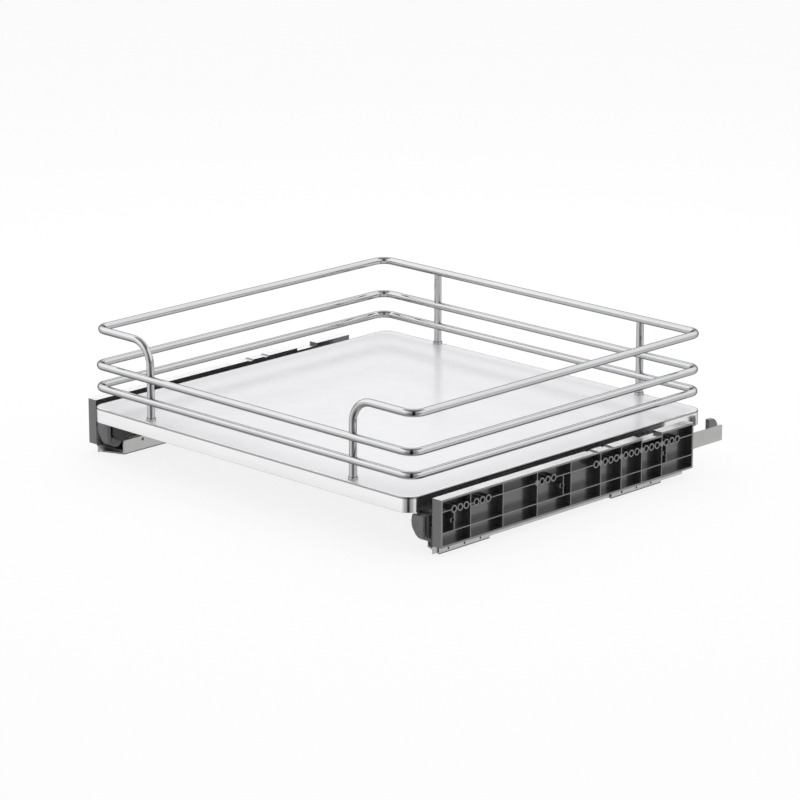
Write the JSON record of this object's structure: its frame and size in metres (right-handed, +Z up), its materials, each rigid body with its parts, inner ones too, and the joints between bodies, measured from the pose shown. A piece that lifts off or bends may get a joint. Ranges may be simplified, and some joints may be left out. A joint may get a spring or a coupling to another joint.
{
  "type": "pull out cabinet basket",
  "caption": "Pull out tray with a gallery of bent chrome rod, on full extension ball slides with ribbed side spacers, release levers and soft closers.",
  "frame": {"origin": "on the plane that the slides' saddles stand on, under the middle of the whole part with the basket pushed home", "axes": "+X across the cabinet to the right as seen from the front, -Y to the front, which is the way the basket pulls out, +Z up"},
  "size_m": [0.524, 0.463, 0.1475],
  "materials": {
    "white_board": "white laminate, semi gloss",
    "polished_band": "polished like a mirror",
    "chrome_rod": "polished",
    "spacer_plastic": "moulded, dark grey, semi gloss",
    "zinc_steel": "zinc plated, satin",
    "dark_plastic": "moulded, satin",
    "grey_plastic": "moulded, satin"
  },
  "bodies": {
    "cabinet_sides": {"left_spacer": "spacer_plastic", "left_cabinet_rail": "zinc_steel", "left_front_saddle": "zinc_steel", "left_rear_saddle": "zinc_steel", "left_rail_screws": "zinc_steel", "left_closer_housing": "dark_plastic", "left_closer_cylinder": "zinc_steel", "left_closer_slider": "grey_plastic", "left_rear_stop": "dark_plastic", "left_rear_tab": "grey_plastic", "right_spacer": "spacer_plastic", "right_cabinet_rail": "zinc_steel", "right_front_saddle": "zinc_steel", "right_rear_saddle": "zinc_steel", "right_rail_screws": "zinc_steel", "right_closer_housing": "dark_plastic", "right_closer_cylinder": "zinc_steel", "right_closer_slider": "grey_plastic", "right_rear_stop": "dark_plastic", "right_rear_tab": "grey_plastic"},
    "basket": {"tray_board": "white_board", "edge_band": "polished_band", "low_rail": "chrome_rod", "mid_rail": "chrome_rod", "top_rail": "chrome_rod", "front_left_post": "chrome_rod", "front_right_post": "chrome_rod", "rear_left_post": "chrome_rod", "rear_right_post": "chrome_rod", "post_collars": "chrome_rod", "post_screws": "zinc_steel", "left_tray_rail": "zinc_steel", "left_rail_end_cap": "dark_plastic", "left_tray_screws": "zinc_steel", "left_closer_pin": "zinc_steel", "left_latch_housing": "dark_plastic", "left_latch_pin": "zinc_steel", "right_tray_rail": "zinc_steel", "right_rail_end_cap": "dark_plastic", "right_tray_screws": "zinc_steel", "right_closer_pin": "zinc_steel", "right_latch_housing": "dark_plastic", "right_latch_pin": "zinc_steel"},
    "left_middle": {"left_middle_rail": "zinc_steel"},
    "left_lower_cage": {"left_lower_cage": "dark_plastic", "left_lower_balls": "zinc_steel"},
    "left_upper_cage": {"left_upper_cage": "dark_plastic", "left_upper_balls": "zinc_steel"},
    "left_release": {"left_latch_lever": "grey_plastic"},
    "right_middle": {"right_middle_rail": "zinc_steel"},
    "right_lower_cage": {"right_lower_cage": "dark_plastic", "right_lower_balls": "zinc_steel"},
    "right_upper_cage": {"right_upper_cage": "dark_plastic", "right_upper_balls": "zinc_steel"},
    "right_release": {"right_latch_lever": "grey_plastic"}
  },
  "joints": [
    {"name": "basket_slide", "type": "slide", "parent": "cabinet_sides", "child": "basket", "axis": [0, -1, 0], "range_m": [0, 0.41]},
    {"name": "left_middle_slide", "type": "slide", "parent": "cabinet_sides", "child": "left_middle", "axis": [0, -1, 0], "range_m": [0, 0.205]},
    {"name": "left_lower_cage_slide", "type": "slide", "parent": "cabinet_sides", "child": "left_lower_cage", "axis": [0, -1, 0], "range_m": [0, 0.1025]},
    {"name": "left_upper_cage_slide", "type": "slide", "parent": "cabinet_sides", "child": "left_upper_cage", "axis": [0, -1, 0], "range_m": [0, 0.3075]},
    {"name": "left_release_pull", "type": "hinge", "parent": "basket", "child": "left_release", "pos_m": [-0.2352, -0.205, 0.0375], "axis": [-1, 0, 0], "range_deg": [0, 18], "stiffness_Nm_per_rad": 0.03, "springref_deg": -8.59},
    {"name": "right_middle_slide", "type": "slide", "parent": "cabinet_sides", "child": "right_middle", "axis": [0, -1, 0], "range_m": [0, 0.205]},
    {"name": "right_lower_cage_slide", "type": "slide", "parent": "cabinet_sides", "child": "right_lower_cage", "axis": [0, -1, 0], "range_m": [0, 0.1025]},
    {"name": "right_upper_cage_slide", "type": "slide", "parent": "cabinet_sides", "child": "right_upper_cage", "axis": [0, -1, 0], "range_m": [0, 0.3075]},
    {"name": "right_release_pull", "type": "hinge", "parent": "basket", "child": "right_release", "pos_m": [0.2352, -0.205, 0.0375], "axis": [-1, 0, 0], "range_deg": [0, 18], "stiffness_Nm_per_rad": 0.03, "springref_deg": -8.59}
  ],
  "couplings": [
    {"joint": "left_middle_slide", "follows": "basket_slide", "ratio": 0.5},
    {"joint": "left_lower_cage_slide", "follows": "basket_slide", "ratio": 0.25},
    {"joint": "left_upper_cage_slide", "follows": "basket_slide", "ratio": 0.75},
    {"joint": "right_middle_slide", "follows": "basket_slide", "ratio": 0.5},
    {"joint": "right_lower_cage_slide", "follows": "basket_slide", "ratio": 0.25},
    {"joint": "right_upper_cage_slide", "follows": "basket_slide", "ratio": 0.75}
  ]
}
